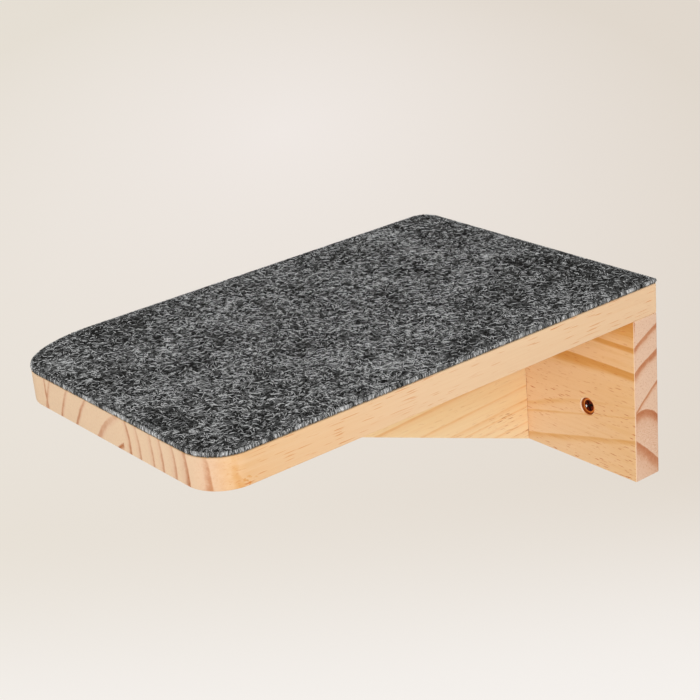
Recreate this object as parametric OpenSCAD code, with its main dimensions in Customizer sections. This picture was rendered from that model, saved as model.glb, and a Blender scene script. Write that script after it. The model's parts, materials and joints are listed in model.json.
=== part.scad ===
// Cat wall shelf: a carpeted pine board on a back plate, held up by one tapered brace.
// Millimetres. +Z is up, +Y points into the wall and +X is right when facing the wall.
// The origin lies on the wall plane, midway between the two wall screws.

/* [Shelf board] */
// Width of the board along the wall
board_w = 200; // [160:1:260]
// Depth of the board out from the wall
board_l = 310; // [260:1:380]
// Thickness of the board
board_t = 18; // [16:0.5:24]
// How far the front left corner's curve reaches along the front
corner_front_left_w = 34; // [5:1:60]
// How far the front left corner's curve reaches along the side
corner_front_left_l = 55; // [5:1:80]
// Radius of the front right corner
corner_front_right_r = 22; // [5:1:60]
// Radius of the rear left corner
corner_rear_left_r = 12; // [3:1:18]
// Radius of the rear right corner
corner_rear_right_r = 1.5; // [1:0.5:18]

/* [Carpet] */
// Thickness of the needle-felt carpet
carpet_t = 2.7; // [1.5:0.1:8]
// How far the carpet's cut edge lies inside the board's edge
carpet_inset = 0.3; // [0:0.1:2]
// Thickness of the adhesive sheet under the carpet
adhesive_t = 0.3; // [0.1:0.05:1]
// How far the adhesive sheet's edge lies inside the board's edge
adhesive_inset = 2; // [0.5:0.5:2]

/* [Back plate] */
// Height of the plate below the board
plate_h = 102; // [90:1:150]
// Thickness of the plate
plate_t = 20; // [18:0.5:28]

/* [Brace] */
// Thickness of the brace
brace_t = 20; // [16:0.5:40]
// Height of the brace's blunt nose at the front
brace_nose_h = 10; // [4:1:40]
// Distance from the board's front edge back to the nose
brace_setback = 42; // [20:1:80]

/* [Wall screws] */
// Distance between the two wall screws
wall_screw_spacing = 123; // [90:1:124]
// Height of the wall screws above the plate's lower edge
wall_screw_rise = 38; // [20:1:50]
// Length of a wall screw, from the top of its head to its tip
wall_screw_l = 50; // [40:1:80]
// Outside diameter of the wall screw's thread
wall_thread_d = 5; // [4:0.5:6]
// Diameter of the smooth neck under the head
wall_neck_d = 3.6; // [2.5:0.1:3.8]
// Diameter of the wall screw's head
wall_head_d = 9.6; // [8:0.1:11]
// Diameter of the counterbore in the plate's front
counterbore_d = 12; // [11.5:0.5:16]
// Depth of the counterbore
counterbore_depth = 1.5; // [1:0.5:8]

/* [Joining screws] */
// Length of the screws down through the board
board_screw_l = 45; // [35:1:50]
// Length of the screws from behind, through the plate into the brace
back_screw_l = 45; // [35:1:60]
// Outside diameter of the joining screws' thread
join_thread_d = 4; // [3:0.5:4.5]
// Diameter of the joining screws' smooth neck
join_neck_d = 2.9; // [2:0.1:2.9]
// Diameter of the joining screws' head
join_head_d = 8; // [6.5:0.1:8.5]
// How far the joining screws' heads lie below the surface
join_sink = 0.3; // [0:0.1:1]
// Distance of the outer plate screws from the board's sides
plate_screw_inset = 20; // [10:1:24]
// Distance of the rear brace screw in front of the plate
brace_screw_rear_run = 70; // [20:1:100]
// Distance of the front brace screw behind the brace's nose
brace_screw_nose_run = 90; // [85:1:110]
// Height of the lower back screw above the plate's lower edge
back_screw_lower_rise = 20; // [18:1:30]
// Height of the upper back screw above the plate's lower edge
back_screw_upper_rise = 54; // [42:1:56]

/* [Dowels] */
// Diameter of the dowels
dowel_d = 8; // [6:0.5:10]
// Depth of a dowel in the board
dowel_board_run = 10; // [6:1:12]
// Depth of a dowel in the plate's top edge
dowel_plate_run = 20; // [10:1:30]
// Distance between the two dowels
dowel_spacing = 84; // [40:1:100]

/* [Hidden] */
$fn = 64;

// How far every cut runs past the face that it opens
overrun = 1;
// Gap between a screw's head and its countersink
seat_clear = 0.05;
// Gap between a thread and its pilot hole
pilot_clear = 0.05;
// Gap between a thread and the clearance hole that it passes through
hole_clear = 0.25;
// Free depth past a screw's tip or a dowel's end
end_gap = 1;
// Gap between a dowel and its hole
dowel_clear = 0.05;
// Straight rim above the cone of a screw's head
head_rim = 0.4;
// Smallest corner radius left by an inset
corner_min_r = 0.5;

// Shares of a screw's head diameter that its cross recess takes
recess_span_share = 0.56;
recess_arm_share = 0.15;
recess_depth_share = 0.24;
// Shares of a screw's thread diameter that its point takes
tip_length_share = 1.4;
tip_end_share = 0.12;

plate_bottom_z = -wall_screw_rise;
plate_top_z = plate_bottom_z + plate_h;
board_top_z = plate_top_z + board_t;
plate_mid_y = -plate_t / 2;
brace_nose_y = -board_l + brace_setback;

wall_neck_l = plate_t - counterbore_depth;
board_neck_l = board_t - join_sink;
back_neck_l = plate_t - join_sink;

plate_screw_x = board_w / 2 - plate_screw_inset;
brace_screw_rear_y = -plate_t - brace_screw_rear_run;
brace_screw_front_y = brace_nose_y + brace_screw_nose_run;

// Places of the screws that go down through the board
plate_screw_places = [for (side = [-1, 0, 1]) [side * plate_screw_x, plate_mid_y]];
brace_screw_places = [[0, brace_screw_front_y], [0, brace_screw_rear_y]];
back_screw_heights = [
    plate_bottom_z + back_screw_lower_rise,
    plate_bottom_z + back_screw_upper_rise
];

pine = "#E3B98B";
felt = "#4C4C4C";
film = "#E8E2D2";
zinc = "#C9A24E";
beech = "#D9B58C";

function inset_r(r, inset) = max(r - inset, corner_min_r);

// What rounding takes off a square corner at the origin, with a curve that reaches w along x and l along y
module corner_waste(w, l) {
    difference() {
        translate([-overrun, -overrun]) square([w + overrun, l + overrun]);
        translate([w, l]) scale([1, l / w]) circle(w);
    }
}

module round_waste(r) corner_waste(r, r);

// The board's outline, drawn in on every side by inset
module board_outline(inset) {
    half_w = board_w / 2 - inset;
    front_y = -board_l + inset;
    difference() {
        translate([-half_w, front_y]) square([2 * half_w, board_l - 2 * inset]);
        translate([-half_w, front_y])
            corner_waste(inset_r(corner_front_left_w, inset), inset_r(corner_front_left_l, inset));
        translate([half_w, front_y]) mirror([1, 0]) round_waste(inset_r(corner_front_right_r, inset));
        translate([-half_w, -inset]) mirror([0, 1]) round_waste(inset_r(corner_rear_left_r, inset));
        translate([half_w, -inset]) rotate(180) round_waste(inset_r(corner_rear_right_r, inset));
    }
}

// Places a child whose own +Z is the way a screw's head faces
module facing_front(x, y, z) translate([x, y, z]) rotate([90, 0, 0]) children();
module facing_back(x, y, z) translate([x, y, z]) rotate([-90, 0, 0]) children();

module cross_recess(head_d) {
    span = head_d * recess_span_share;
    arm = head_d * recess_arm_share;
    depth = head_d * recess_depth_share;
    translate([-span / 2, -arm / 2, -depth]) cube([span, arm, depth + overrun]);
    translate([-arm / 2, -span / 2, -depth]) cube([arm, span, depth + overrun]);
}

// Countersunk wood screw, the top of its head at the origin and its point down
module wood_screw(head_d, neck_d, thread_d, length, neck_l) {
    cone_h = (head_d - neck_d) / 2;
    tip_l = thread_d * tip_length_share;
    color(zinc) difference() {
        rotate_extrude() polygon([
            [0, 0],
            [head_d / 2, 0],
            [head_d / 2, -head_rim],
            [neck_d / 2, -head_rim - cone_h],
            [neck_d / 2, -neck_l],
            [thread_d / 2, -neck_l],
            [thread_d / 2, -length + tip_l],
            [thread_d * tip_end_share / 2, -length],
            [0, -length]
        ]);
        cross_recess(head_d);
    }
}

// Cut for a screw's head and thread through the first piece, which ends at through_l
module screw_seat(head_d, thread_d, through_l, sink) {
    seat_r = head_d / 2 + seat_clear;
    hole_r = thread_d / 2 + hole_clear;
    rotate_extrude() polygon([
        [0, sink + overrun],
        [seat_r, sink + overrun],
        [seat_r, -head_rim],
        [hole_r, -head_rim - seat_r + hole_r],
        [hole_r, -through_l - overrun],
        [0, -through_l - overrun]
    ]);
}

// Blind hole for a screw's thread in the second piece, which starts at start_l
module pilot_hole(thread_d, start_l, length) {
    translate([0, 0, -length - end_gap])
        cylinder(h = length + end_gap - start_l + overrun, r = thread_d / 2 + pilot_clear);
}

module dowel_hole(depth_down, depth_up) {
    translate([0, 0, -depth_down]) cylinder(h = depth_down + depth_up, r = dowel_d / 2 + dowel_clear);
}

// Places children at both dowels, on the face between board and plate
module at_dowels() {
    for (side = [-1, 1])
        translate([side * dowel_spacing / 2, plate_mid_y, plate_top_z]) children();
}

module shelf_board() {
    color(pine) difference() {
        translate([0, 0, plate_top_z]) linear_extrude(board_t) board_outline(0);
        for (place = concat(plate_screw_places, brace_screw_places))
            translate([place.x, place.y, board_top_z - join_sink])
                screw_seat(join_head_d, join_thread_d, board_neck_l, join_sink);
        at_dowels() dowel_hole(overrun, dowel_board_run + end_gap);
    }
}

module carpet() {
    color(felt) translate([0, 0, board_top_z + adhesive_t])
        linear_extrude(carpet_t) board_outline(carpet_inset);
}

module carpet_adhesive() {
    color(film) translate([0, 0, board_top_z]) linear_extrude(adhesive_t) board_outline(adhesive_inset);
}

// The plate follows the board's rear corners
module plate_outline() {
    intersection() {
        board_outline(0);
        translate([-board_w / 2 - overrun, -plate_t]) square([board_w + 2 * overrun, plate_t + overrun]);
    }
}

module back_plate() {
    color(pine) difference() {
        translate([0, 0, plate_bottom_z]) linear_extrude(plate_h) plate_outline();
        for (side = [-1, 1])
            facing_front(side * wall_screw_spacing / 2, -wall_neck_l, 0) {
                screw_seat(wall_head_d, wall_thread_d, wall_neck_l, 0);
                cylinder(h = counterbore_depth + overrun, d = counterbore_d);
            }
        for (place = plate_screw_places)
            translate([place.x, place.y, board_top_z - join_sink])
                pilot_hole(join_thread_d, board_neck_l, board_screw_l);
        for (height = back_screw_heights)
            facing_back(0, -join_sink, height)
                screw_seat(join_head_d, join_thread_d, back_neck_l, join_sink);
        at_dowels() dowel_hole(dowel_plate_run + end_gap, overrun);
    }
}

module brace_profile() {
    polygon([
        [-plate_t, plate_top_z],
        [-plate_t, plate_bottom_z],
        [brace_nose_y, plate_top_z - brace_nose_h],
        [brace_nose_y, plate_top_z]
    ]);
}

module brace() {
    color(pine) difference() {
        translate([-brace_t / 2, 0, 0]) rotate([90, 0, 90]) linear_extrude(brace_t) brace_profile();
        for (place = brace_screw_places)
            translate([place.x, place.y, board_top_z - join_sink])
                pilot_hole(join_thread_d, board_neck_l, board_screw_l);
        for (height = back_screw_heights)
            facing_back(0, -join_sink, height) pilot_hole(join_thread_d, back_neck_l, back_screw_l);
    }
}

module wall_screw(side) {
    facing_front(side * wall_screw_spacing / 2, -wall_neck_l, 0)
        wood_screw(wall_head_d, wall_neck_d, wall_thread_d, wall_screw_l, wall_neck_l);
}

module board_screw(place) {
    translate([place.x, place.y, board_top_z - join_sink])
        wood_screw(join_head_d, join_neck_d, join_thread_d, board_screw_l, board_neck_l);
}

module back_screw(height) {
    facing_back(0, -join_sink, height)
        wood_screw(join_head_d, join_neck_d, join_thread_d, back_screw_l, back_neck_l);
}

module dowel(side) {
    color(beech) translate([side * dowel_spacing / 2, plate_mid_y, plate_top_z - dowel_plate_run])
        cylinder(h = dowel_plate_run + dowel_board_run, d = dowel_d);
}

shelf_board();
carpet();
carpet_adhesive();
back_plate();
brace();
wall_screw(-1);  // wall_screw_left
wall_screw(1);  // wall_screw_right
board_screw(plate_screw_places[0]);  // plate_screw_left
board_screw(plate_screw_places[1]);  // plate_screw_middle
board_screw(plate_screw_places[2]);  // plate_screw_right
board_screw(brace_screw_places[0]);  // brace_top_screw_front
board_screw(brace_screw_places[1]);  // brace_top_screw_rear
back_screw(back_screw_heights[0]);  // brace_back_screw_lower
back_screw(back_screw_heights[1]);  // brace_back_screw_upper
dowel(-1);  // dowel_left
dowel(1);  // dowel_right
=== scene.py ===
# %% [markdown]
# # A cat's wall shelf
# The shelf is a pine board with a felt carpet on top. A pine plate carries it on the wall and a pine
# brace props it from below. The CAD model fixes every place and size, so it is loaded first and all
# new pieces are made around it, in the same frame.

# %% Load the frame
import json
from math import cos, pi, radians, sin

import bmesh
import bpy
import numpy as np
from mathutils import Matrix, Vector, noise


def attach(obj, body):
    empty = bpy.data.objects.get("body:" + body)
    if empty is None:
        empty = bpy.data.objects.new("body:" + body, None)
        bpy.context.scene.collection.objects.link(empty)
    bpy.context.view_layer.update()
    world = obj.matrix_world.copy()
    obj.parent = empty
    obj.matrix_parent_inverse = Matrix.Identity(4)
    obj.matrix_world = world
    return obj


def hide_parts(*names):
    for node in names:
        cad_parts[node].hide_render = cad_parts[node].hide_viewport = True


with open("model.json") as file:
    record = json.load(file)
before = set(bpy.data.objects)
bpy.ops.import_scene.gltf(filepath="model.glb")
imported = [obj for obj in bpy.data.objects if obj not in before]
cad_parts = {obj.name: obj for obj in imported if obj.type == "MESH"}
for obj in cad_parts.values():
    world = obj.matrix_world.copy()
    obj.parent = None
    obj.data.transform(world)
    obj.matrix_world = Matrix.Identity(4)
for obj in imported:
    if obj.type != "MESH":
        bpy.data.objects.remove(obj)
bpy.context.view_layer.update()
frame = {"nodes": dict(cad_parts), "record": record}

MM = 0.001
scene = bpy.context.scene

# %% [markdown]
# ## Small helpers
# Colours are picked as sRGB hex values, as a painter would read them off a screen, but shaders work in
# linear light, so one function converts them. A second one adds a node to a material, sets it up, links it
# and gives its output. Nodes could be wired in the editor, but written like this a recipe can be read.

# %% Colour and node helpers
def linear(hex_colour):
    """The linear RGBA of an sRGB hex colour."""
    channels = [int(hex_colour[i:i + 2], 16) / 255 for i in (1, 3, 5)]
    return [c / 12.92 if c <= 0.04045 else ((c + 0.055) / 1.055) ** 2.4 for c in channels] + [1.0]


def add(tree, kind, links=None, values=None, out=None, **settings):
    """Adds a shader node with its settings, socket values and links, and gives one of its outputs."""
    node = tree.nodes.new("ShaderNode" + kind)
    for name, value in settings.items():
        setattr(node, name, value)
    for socket, value in (values or {}).items():
        node.inputs[socket].default_value = value
    for socket, source in (links or {}).items():
        tree.links.new(source, node.inputs[socket])
    return node.outputs[out] if out else next(socket for socket in node.outputs if socket.enabled)


def start_material(name):
    """A new material with its node tree and its main shader."""
    material = bpy.data.materials.new(name)
    material.use_nodes = True
    return material, material.node_tree, material.node_tree.nodes["Principled BSDF"]


print("pine cream as linear:", [round(c, 3) for c in linear("#EEC598")])

# %% [markdown]
# ## The camera
# The picture was taken from the shelf's front right, a little above it, with a long lens. The angles,
# distance and lens below put the CAD model's edges on the edges in the picture. A long lens flattens the
# perspective, which is why the camera stands almost a metre away.

# %% Camera
AIM = Vector((0, -150, 52)) * MM
AZIMUTH = radians(53.254)
ELEVATION = radians(22.931)
ROLL = radians(-5.249)
DISTANCE = 971.1 * MM
SENSOR_WIDTH = 36
LENS = 87.53
SHIFT_X = 0.0045
SHIFT_Y = 0.0239

back = Vector((sin(AZIMUTH) * cos(ELEVATION), -cos(AZIMUTH) * cos(ELEVATION), sin(ELEVATION)))
level = Vector((0, 0, 1)).cross(back).normalized()
upward = back.cross(level)
right = cos(ROLL) * level + sin(ROLL) * upward
top = cos(ROLL) * upward - sin(ROLL) * level
camera = bpy.data.objects.new("camera", bpy.data.cameras.new("camera"))
scene.collection.objects.link(camera)
turn = Matrix((right, top, back)).transposed().to_4x4()
camera.matrix_world = Matrix.Translation(AIM + DISTANCE * back) @ turn
camera.data.sensor_width = SENSOR_WIDTH
camera.data.lens = LENS
camera.data.shift_x = SHIFT_X
camera.data.shift_y = SHIFT_Y
camera.data.clip_end = 50
scene.camera = camera
print("camera at", [round(c, 3) for c in camera.matrix_world.translation])

# %% [markdown]
# ## The floor
# A wall shelf hangs in the air, so the floor lies well below it and catches a soft shadow there. A round
# disc is enough, because its rim is far outside the picture.

# %% Floor
FLOOR_Z = -450 * MM
FLOOR_RADIUS = 14

floor_mesh = bpy.data.meshes.new("studio_floor")
bm = bmesh.new()
bmesh.ops.create_circle(bm, cap_ends=True, segments=96, radius=FLOOR_RADIUS)
bmesh.ops.translate(bm, vec=(0, 0, FLOOR_Z), verts=bm.verts)
bm.to_mesh(floor_mesh)
bm.free()
floor = bpy.data.objects.new("studio_floor", floor_mesh)
scene.collection.objects.link(floor)
print("floor at", round(FLOOR_Z / MM), "mm")

# %% [markdown]
# ## The studio paper
# The paper is a warm cream that brightens towards the viewer and glows faintly behind the shelf. More
# light would make it pale too, but it would bleach the shelf. So the paper partly shines by itself, and
# only for rays that come from the camera, a mirror or glass.

# %% Studio paper
def direct_rays(tree):
    """1 for rays that come from the camera, a mirror or glass, and 0 for the rest."""
    path = add(tree, "LightPath").node.outputs
    seen = add(tree, "Math", {0: path["Is Camera Ray"], 1: path["Is Glossy Ray"]}, operation="MAXIMUM")
    return add(tree, "Math", {0: seen, 1: path["Is Transmission Ray"]}, operation="MAXIMUM")


paper, tree, shader = start_material("cream studio paper")
place = add(tree, "TexCoord", out="Object")
eye = camera.matrix_world.translation
ahead = Vector((-sin(AZIMUTH), cos(AZIMUTH), 0))
# After this turn X runs across the picture and Y away from the viewer, in metres.
across = add(tree, "Mapping", {"Vector": place}, {
    "Location": (-eye.dot(level), -eye.dot(ahead), 0), "Rotation": (0, 0, -AZIMUTH)})
axes = add(tree, "SeparateXYZ", {0: across}).node.outputs
sideways = add(tree, "MapRange", {"Value": axes["X"]}, {"From Min": -0.45, "From Max": 0.45})
near = add(tree, "MapRange", {"Value": axes["Y"]}, {"From Min": 1.72, "From Max": 1.22},
           interpolation_type="SMOOTHSTEP")
# The glow is an oval pool, 3.3 m away and 1.9 m deep.
pool = add(tree, "Mapping", {"Vector": across}, {
    "Location": (0.1, -3.3 / 1.9, 0), "Scale": (1 / 0.85, 1 / 1.9, 0)})
pool = add(tree, "TexGradient", {"Vector": pool}, out="Fac", gradient_type="SPHERICAL")
cream = add(tree, "Mix", {0: sideways}, {6: linear("#EAE3D8"), 7: linear("#E5DCD1")}, data_type="RGBA")
cream = add(tree, "Mix", {0: pool, 6: cream}, {7: linear("#F4EDE8")}, data_type="RGBA")
cream = add(tree, "Mix", {0: near, 6: cream}, {7: linear("#F8F4F0")}, data_type="RGBA")
shade = add(tree, "BsdfDiffuse", {"Color": cream})
glow = add(tree, "Emission", {"Color": cream}, {"Strength": 1.0})
share = add(tree, "Math", {0: direct_rays(tree)}, {1: 0.9}, operation="MULTIPLY")
mixed = add(tree, "MixShader", {0: share, 1: shade, 2: glow})
tree.links.new(mixed, tree.nodes["Material Output"].inputs["Surface"])
tree.nodes.remove(shader)
floor_mesh.materials.append(paper)
print("paper has", len(tree.nodes), "nodes")

# %% [markdown]
# ## The air around it
# A white studio throws light back from every side, which the world's even white light stands for. The
# camera sees a cream wall there instead, so the top of the picture goes on from the paper.

# %% World
world = bpy.data.worlds.new("studio")
scene.world = world
world.use_nodes = True
tree = world.node_tree
soft = tree.nodes["Background"]
soft.inputs["Color"].default_value = linear("#FFFFFF")
soft.inputs["Strength"].default_value = 0.55
wall = add(tree, "Background", None, {"Color": linear("#EBE4DA"), "Strength": 1.0})
mixed = add(tree, "MixShader", {0: direct_rays(tree), 1: soft.outputs[0], 2: wall})
tree.links.new(mixed, tree.nodes["World Output"].inputs["Surface"])
scene.view_settings.view_transform = "Standard"
print("world light", soft.inputs["Strength"].default_value)

# %% [markdown]
# ## The lamps
# Wide panels give soft, nearly shadowless light. The main one stands beside the viewer and low, so its
# light reaches under the board and the plate isn't left in the dark. At these powers a colour renders
# about as it is written.

# %% Lamps
LAMP_METRES = 2.0
LAMP_SIZE = 1.2


def panel(name, way, watts):
    """A square white lamp that looks at the shelf from a direction."""
    lamp = bpy.data.lights.new(name, "AREA")
    lamp.size = LAMP_SIZE
    lamp.energy = watts
    lamp.color = linear("#FFFFFF")[:3]
    holder = bpy.data.objects.new(name, lamp)
    scene.collection.objects.link(holder)
    way = Vector(way).normalized()
    spot = Matrix.Translation(AIM + way * LAMP_METRES)
    holder.matrix_world = spot @ way.to_track_quat("Z", "Y").to_matrix().to_4x4()


panel("main_panel", (0.74, -0.62, 0.32), 18.5)
panel("left_panel", (-0.9, -0.6, 0.8), 4.7)
panel("rear_panel", (0.2, 1.0, 0.7), 3.0)

# %% [markdown]
# ## Yearly rings
# The pale early wood of each ring of pine darkens slowly into brown late wood, which stops at a sharp edge
# where the next year starts. Rings run through the whole plank. Painted on each face they wouldn't meet at
# the edges, so they are drawn in three dimensions: a piece gives a distance in millimetres to its rings,
# and a colour ramp turns that into late wood.

# %% Rings
# A ramp holds 32 stops and a ring takes 5.
RINGS_A_RAMP = 6
MARGIN = 30


def darkest(tree, *sets):
    """The darkest of several sets of rings at each place."""
    result = sets[0]
    for other in sets[1:]:
        result = add(tree, "Math", {0: result, 1: other}, operation="MAXIMUM")
    return result


def late_wood(tree, distance, rings):
    """Late wood from 0 to 1. A ring is its edge, darkness, fade and line width, with lengths in mm."""
    ramps = []
    for first in range(0, len(rings), RINGS_A_RAMP):
        group = rings[first:first + RINGS_A_RAMP]
        low = group[0][0] - MARGIN
        high = group[-1][0] + MARGIN
        scaled = add(tree, "MapRange", {"Value": distance}, {"From Min": low, "From Max": high})
        late = add(tree, "ValToRGB", {0: scaled})
        stops = late.node.color_ramp.elements
        stops[0].color = stops[1].color = (0, 0, 0, 1)
        for edge, dark, fade, line in group:
            profile = ((edge - fade, 0), (edge - line - 0.3 * fade, 0.35), (edge - line, 1),
                       (edge - 0.3, 1), (edge + 0.5, 0))
            for where, share in profile:
                stops.new((where - low) / (high - low)).color = (share * dark,) * 3 + (1,)
        ramps.append(late)
    return darkest(tree, *ramps)


print("a ramp takes", RINGS_A_RAMP, "rings")

# %% [markdown]
# ## Grain
# Wood is a bundle of fibres, so nearly all its marks are long one way and short the other. One noise serves
# for all of them, squeezed across the grain and drawn out along it. Where the surface cuts across the
# fibres it shows end grain, and the angle between its normal and the fibres tells where that is.

# %% Grain
def grain_noise(tree, spot, along):
    """Gives a function that adds noise drawn out along an axis, from sizes in mm."""
    def fibres(across_mm, along_mm, detail, roughness=0.5):
        scale = [1 / across_mm] * 3
        scale[along] = 1 / along_mm
        drawn = add(tree, "Mapping", {"Vector": spot}, {"Scale": scale})
        return add(tree, "TexNoise", {"Vector": drawn}, {
            "Scale": 1.0, "Detail": detail, "Roughness": roughness})
    return fibres


def end_and_face(tree, along):
    """How far the surface is end grain, from 0 to 1, and how far it isn't."""
    axis = [0, 0, 0]
    axis[along] = 1
    normal = add(tree, "NewGeometry", out="Normal")
    cut = add(tree, "VectorMath", {0: normal}, {1: axis}, operation="DOT_PRODUCT")
    cut = add(tree, "Math", {0: cut}, operation="ABSOLUTE")
    end = add(tree, "MapRange", {"Value": cut}, {"From Min": 0.35, "From Max": 0.9},
              interpolation_type="SMOOTHSTEP")
    face = add(tree, "Math", {1: end}, {0: 1.0}, operation="SUBTRACT")
    return end, face


print("grain helpers ready")

# %% [markdown]
# ## Ring colours
# Fresh pine is cream between the rings and turns from gold to brown towards each ring's edge. Its cut ends
# drink more dust and light, so they are rosier than the faces. Each tone therefore has two colours, and
# warm patches keep the early wood from looking like paint.

# %% Ring colours
def ring_colours(tree, fibres, late, end, face, shades):
    """The colour of the wood from its late wood, on faces and on ends."""
    early, middle, dark = [
        add(tree, "Mix", {0: end}, {6: linear(shades[tone]), 7: linear(shades["end_" + tone])},
            data_type="RGBA") for tone in ("early", "middle", "late")]
    patch = add(tree, "MapRange", {"Value": fibres(30, 160, 2)}, {
        "From Min": 0.38, "From Max": 0.66, "To Max": shades["patch"]})
    patch = add(tree, "Math", {0: patch, 1: face}, operation="MULTIPLY")
    early = add(tree, "Mix", {0: patch, 6: early}, {7: linear(shades["warm"])}, data_type="RGBA")
    # A ring warms first and only then turns brown.
    warming = add(tree, "MapRange", {"Value": late}, {"From Max": 0.5})
    browning = add(tree, "MapRange", {"Value": late}, {"From Min": 0.2})
    wood = add(tree, "Mix", {0: warming, 6: early, 7: middle}, data_type="RGBA")
    return add(tree, "Mix", {0: browning, 6: wood, 7: dark}, data_type="RGBA")


print("ring colours ready")

# %% [markdown]
# ## Pores and resin canals
# Cut ends are speckled with pores. On the faces resin canals show as short brown dashes along the fibres,
# which come in drifts. Each could be modelled as a groove, but they are too small to cast a shadow, so noise
# with a high threshold draws them: only its rare peaks become marks.

# %% Pores and canals
# A canal is finer than this on real pine, and is drawn as wide as it needs to show.
CANAL_WIDTH = 0.65
PORE_SIZE = 1.1


def pores(tree, spot, end, shades):
    """The share of pores on cut ends."""
    speck = add(tree, "TexNoise", {"Vector": spot}, {
        "Scale": 1 / PORE_SIZE, "Detail": 3.0, "Roughness": 0.7})
    speck = add(tree, "MapRange", {"Value": speck}, {
        "From Min": 0.53, "From Max": 0.73, "To Max": shades["pores"]})
    return add(tree, "Math", {0: speck, 1: end}, operation="MULTIPLY")


def canals(tree, fibres, spot, face, shades):
    """The share of resin canals on faces. Above a height they are rarer."""
    drift = add(tree, "MapRange", {"Value": fibres(26, 90, 2)}, {
        "From Min": shades["drift"], "From Max": shades["drift"] + 0.24, "To Max": shades["canals"]})
    canal = add(tree, "MapRange", {"Value": fibres(CANAL_WIDTH, shades["canal_mm"], 1)}, {
        "From Min": 0.645, "From Max": 0.71})
    height = add(tree, "SeparateXYZ", {0: spot}, out="Z")
    zone = add(tree, "MapRange", {"Value": height}, {
        "From Min": shades["canal_top"] - 8, "From Max": shades["canal_top"],
        "To Min": 1.0, "To Max": shades["canal_high"]})
    for limit in (drift, zone, face):
        canal = add(tree, "Math", {0: canal, 1: limit}, operation="MULTIPLY")
    return canal


print("pores and canals ready")

# %% [markdown]
# ## Planed pine
# The recipe puts these layers over each other. Planing and sanding leave pine matt, with a faint relief,
# because the hard late wood wears less than the soft early wood. Three planks share the recipe and
# bring their own rings and shades, which is how timber from three trees would differ.

# %% Planed pine
def pine(name, along, rings_of, shades):
    """Planed and sanded pine. Its fibres run along axis 0 or 1, and rings_of adds its ring nodes."""
    material, tree, shader = start_material(name)
    place = add(tree, "TexCoord", out="Object")
    spot = add(tree, "Mapping", {"Vector": place}, {"Scale": (1000, 1000, 1000)})
    fibres = grain_noise(tree, spot, along)
    end, face = end_and_face(tree, along)

    # Rings waver by about half a millimetre, and their lines are a little broken up.
    waver = add(tree, "VectorMath", {0: fibres(22, 180, 6, 0.6).node.outputs["Color"]},
                {1: (0.5, 0.5, 0.5)}, operation="SUBTRACT")
    wavy = add(tree, "VectorMath", {0: waver, 2: spot}, {1: (3.2, 3.2, 3.2)}, operation="MULTIPLY_ADD")
    broken = add(tree, "MapRange", {"Value": fibres(3, 40, 3, 0.7)}, {
        "From Min": 0.3, "From Max": 0.7, "To Min": 0.7, "To Max": 1.2})
    late = add(tree, "Math", {0: rings_of(tree, wavy), 1: broken}, operation="MULTIPLY")
    wood = ring_colours(tree, fibres, late, end, face, shades)

    # Fibres are finer than a pixel, so they are drawn about 1 mm wide, a touch warmer than the rest.
    fine = fibres(1.2, 60, 3)
    streak = add(tree, "MapRange", {"Value": fine}, {"From Min": 0.42, "From Max": 0.75, "To Max": 0.1})
    # A painted highlight: a clean, pale line where a face turns into an end, as a rounded edge catching the
    # light.
    edge_highlight = add(tree, "Math", {0: end, 1: face}, operation="MULTIPLY")
    edge_highlight = add(tree, "Math", {0: edge_highlight}, {1: shades["edge_highlight"]}, operation="MULTIPLY", use_clamp=True)
    for share, colour in ((streak, shades["late"]), (pores(tree, spot, end, shades), shades["end_late"]),
                          (canals(tree, fibres, spot, face, shades), shades["canal"]), (edge_highlight, "#FFE9CC")):
        wood = add(tree, "Mix", {0: share, 6: wood}, {7: linear(colour)}, data_type="RGBA")
    tree.links.new(wood, shader.inputs["Base Color"])

    rough = add(tree, "MapRange", {"Value": fine}, {"To Min": 0.6, "To Max": 0.75})
    tree.links.new(rough, shader.inputs["Roughness"])
    shader.inputs["Specular IOR Level"].default_value = 0.2
    relief = add(tree, "Math", {0: late, 1: fine}, operation="ADD")
    bump = add(tree, "Bump", {"Height": relief}, {"Strength": 0.15, "Distance": 0.1 * MM})
    tree.links.new(bump, shader.inputs["Normal"])
    print(name, "has", len(tree.nodes), "nodes")
    return material


print("pine recipe ready")

# %% [markdown]
# ## Shaping
# Each piece is shaped in millimetres with bmesh operators and only then scaled to metres. The planks are
# blocks with rounded upright edges. A bevel is always round, so the long curve of one corner is made by
# squeezing the block, bevelling it and stretching it again.

# %% Shaping helpers
def keep(bm, name, material, smooth=30):
    """Turns a bmesh in millimetres into a finished piece that rides on the shelf."""
    bmesh.ops.scale(bm, vec=(MM, MM, MM), verts=bm.verts)
    mesh = bpy.data.meshes.new(name)
    bm.to_mesh(mesh)
    bm.free()
    mesh.materials.append(material)
    mesh.polygons.foreach_set("use_smooth", [True] * len(mesh.polygons))
    mesh.set_sharp_from_angle(angle=radians(smooth))
    piece = bpy.data.objects.new(name, mesh)
    scene.collection.objects.link(piece)
    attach(piece, "root")
    return piece


def block(low, high):
    """A rectangular block between two corners."""
    bm = bmesh.new()
    bmesh.ops.create_cube(bm, size=1)
    low, high = Vector(low), Vector(high)
    bmesh.ops.scale(bm, vec=high - low, verts=bm.verts)
    bmesh.ops.translate(bm, vec=(low + high) / 2, verts=bm.verts)
    return bm


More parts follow.
